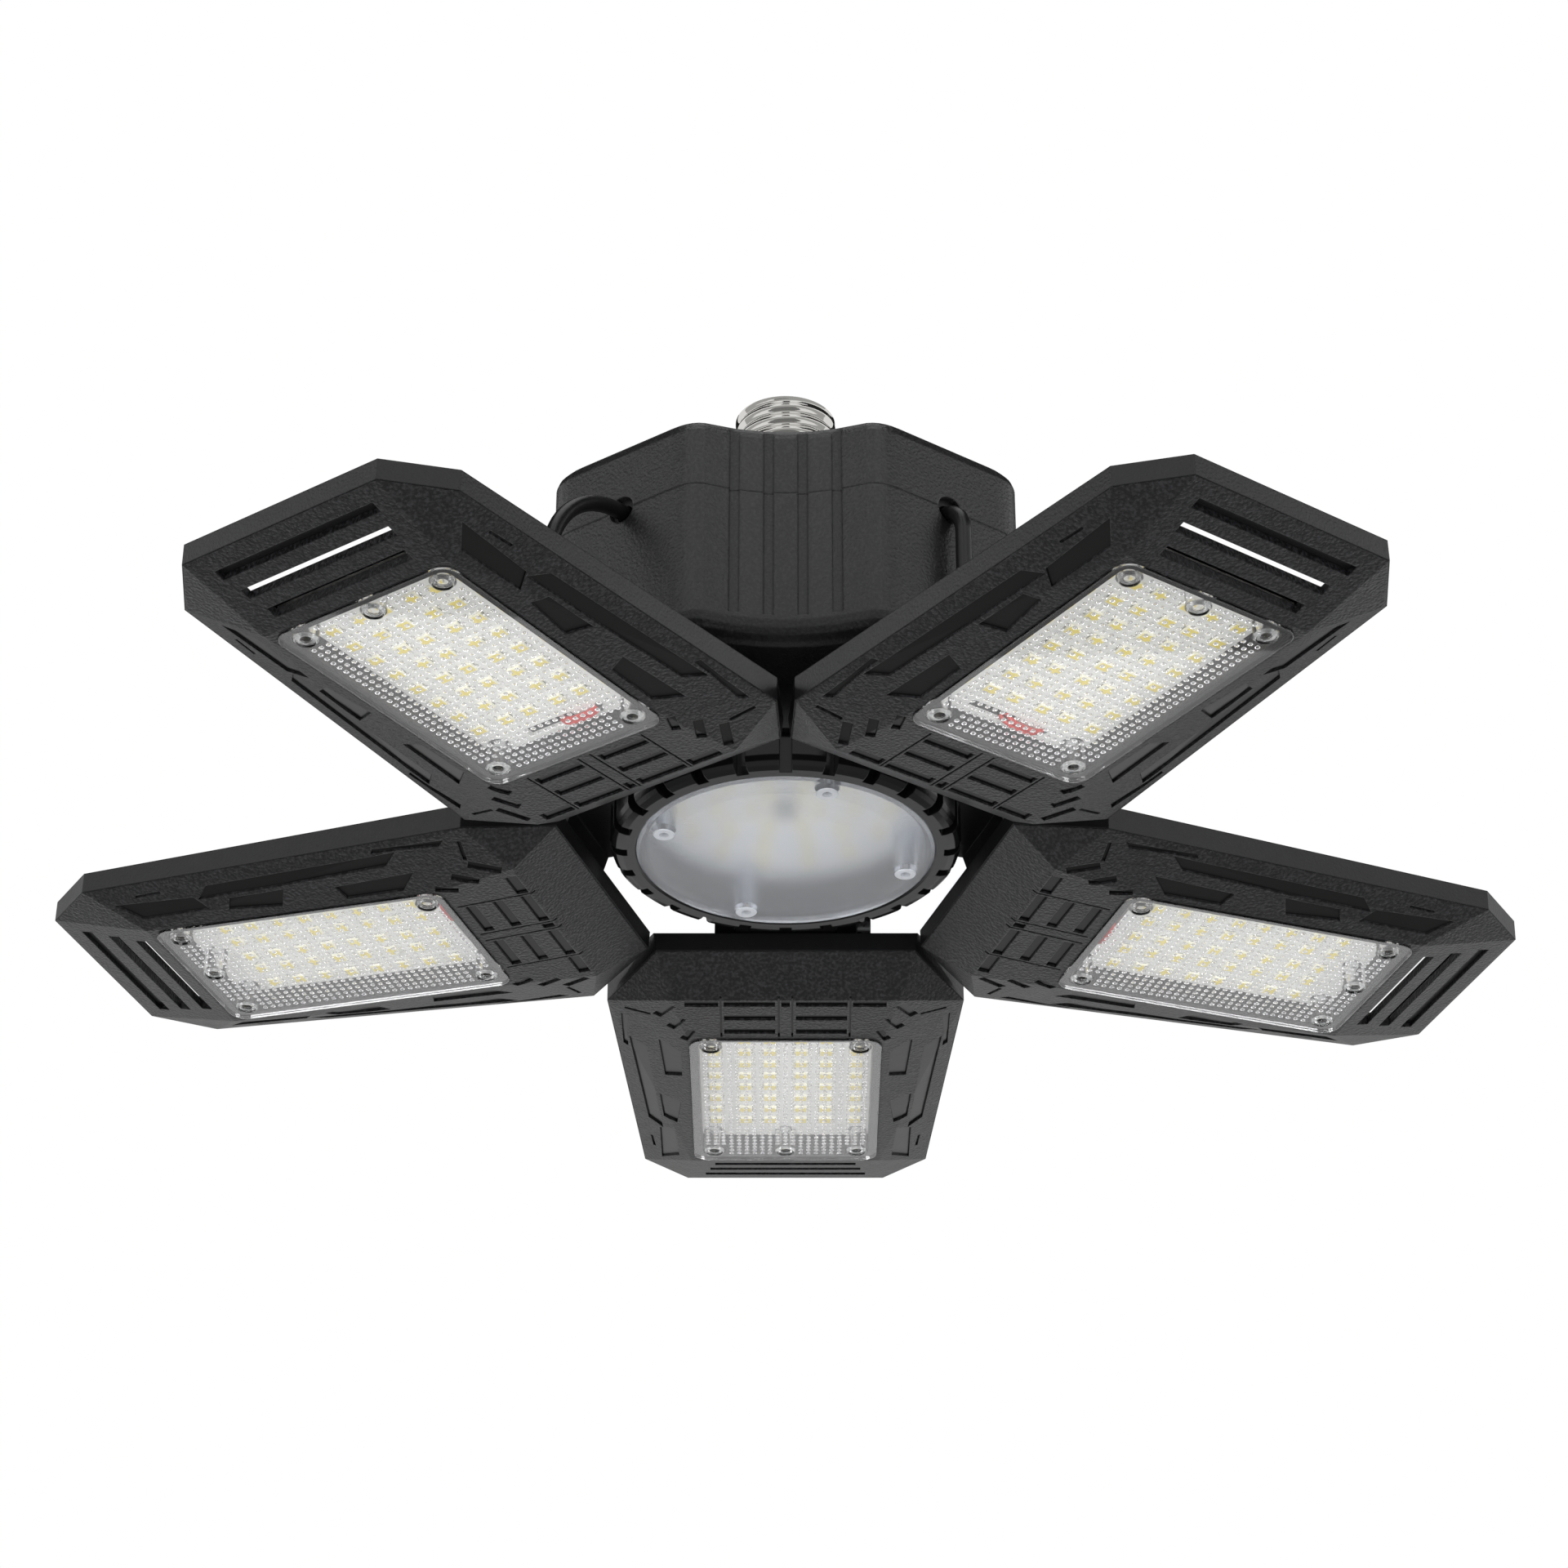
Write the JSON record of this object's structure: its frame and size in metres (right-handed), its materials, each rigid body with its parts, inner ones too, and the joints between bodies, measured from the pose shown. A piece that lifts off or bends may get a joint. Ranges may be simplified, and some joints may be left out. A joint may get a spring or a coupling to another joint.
{
  "type": "folding garage ceiling light",
  "caption": "Screw-in garage light: flat LED panels hinged round a centre lamp under a lobed driver housing, folding up towards it.",
  "frame": {"origin": "on the lamp axis, at the middle of the plain skirt of the E26 screw shell", "axes": "+Z along the lamp axis towards the screw base's contact; one panel gap faces -Y and one panel points along +Y"},
  "size_m": [0.368, 0.3505, 0.1489],
  "materials": {
    "shell_metal": "polished nickel plate",
    "contact_metal": "tinned",
    "white_insulator": "glossy, slightly translucent",
    "housing_plastic": "satin moulded",
    "circuit_board": "solder mask",
    "transformer_tape": "tape",
    "capacitor_sleeve": "shrink sleeve",
    "hub_plastic": "satin moulded",
    "pin_steel": "turned",
    "grommet_rubber": "matt",
    "ring_plastic": "glossy",
    "white_board": "white solder mask on aluminium",
    "led": "phosphor",
    "frosted_lens": "frosted",
    "frame_plastic": "fine moulded grain",
    "back_plastic": "satin",
    "clear_lens": "clear with fine prisms",
    "lead_jacket": "satin cable jacket"
  },
  "bodies": {
    "lamp": {"screw_shell": "shell_metal", "centre_contact": "contact_metal", "base_insulator": "white_insulator", "base_collar": "housing_plastic", "upper_cover": "housing_plastic", "driver_housing": "housing_plastic", "driver_board": "circuit_board", "transformer": "transformer_tape", "capacitors": "capacitor_sleeve", "hub": "hub_plastic", "hinge_pins": "pin_steel", "cable_grommets": "grommet_rubber", "ring": "ring_plastic", "centre_board": "white_board", "centre_leds": "led", "centre_lens": "frosted_lens", "lead_1": "lead_jacket", "lead_2": "lead_jacket", "lead_3": "lead_jacket", "lead_4": "lead_jacket", "lead_5": "lead_jacket"},
    "panel_1": {"panel_frame_1": "frame_plastic", "panel_back_1": "back_plastic", "panel_lens_1": "clear_lens", "led_board_1": "white_board", "panel_leds_1": "led", "entry_grommet_1": "grommet_rubber"},
    "panel_2": {"panel_frame_2": "frame_plastic", "panel_back_2": "back_plastic", "panel_lens_2": "clear_lens", "led_board_2": "white_board", "panel_leds_2": "led", "entry_grommet_2": "grommet_rubber"},
    "panel_3": {"panel_frame_3": "frame_plastic", "panel_back_3": "back_plastic", "panel_lens_3": "clear_lens", "led_board_3": "white_board", "panel_leds_3": "led", "entry_grommet_3": "grommet_rubber"},
    "panel_4": {"panel_frame_4": "frame_plastic", "panel_back_4": "back_plastic", "panel_lens_4": "clear_lens", "led_board_4": "white_board", "panel_leds_4": "led", "entry_grommet_4": "grommet_rubber"},
    "panel_5": {"panel_frame_5": "frame_plastic", "panel_back_5": "back_plastic", "panel_lens_5": "clear_lens", "led_board_5": "white_board", "panel_leds_5": "led", "entry_grommet_5": "grommet_rubber"}
  },
  "joints": [
    {"name": "panel_1_hinge", "type": "hinge", "parent": "lamp", "child": "panel_1", "pos_m": [0.05516, 0.01792, -0.1015], "axis": [0.309, -0.9511, 0], "range_deg": [0, 80], "deforming": ["lead_1"]},
    {"name": "panel_2_hinge", "type": "hinge", "parent": "lamp", "child": "panel_2", "pos_m": [0, 0.058, -0.1015], "axis": [1, 0, 0], "range_deg": [0, 80], "deforming": ["lead_2"]},
    {"name": "panel_3_hinge", "type": "hinge", "parent": "lamp", "child": "panel_3", "pos_m": [-0.05516, 0.01792, -0.1015], "axis": [0.309, 0.9511, 0], "range_deg": [0, 80], "deforming": ["lead_3"]},
    {"name": "panel_4_hinge", "type": "hinge", "parent": "lamp", "child": "panel_4", "pos_m": [-0.03409, -0.04692, -0.1015], "axis": [-0.809, 0.5878, 0], "range_deg": [0, 80], "deforming": ["lead_4"]},
    {"name": "panel_5_hinge", "type": "hinge", "parent": "lamp", "child": "panel_5", "pos_m": [0.03409, -0.04692, -0.1015], "axis": [-0.809, -0.5878, 0], "range_deg": [0, 80], "deforming": ["lead_5"]}
  ]
}
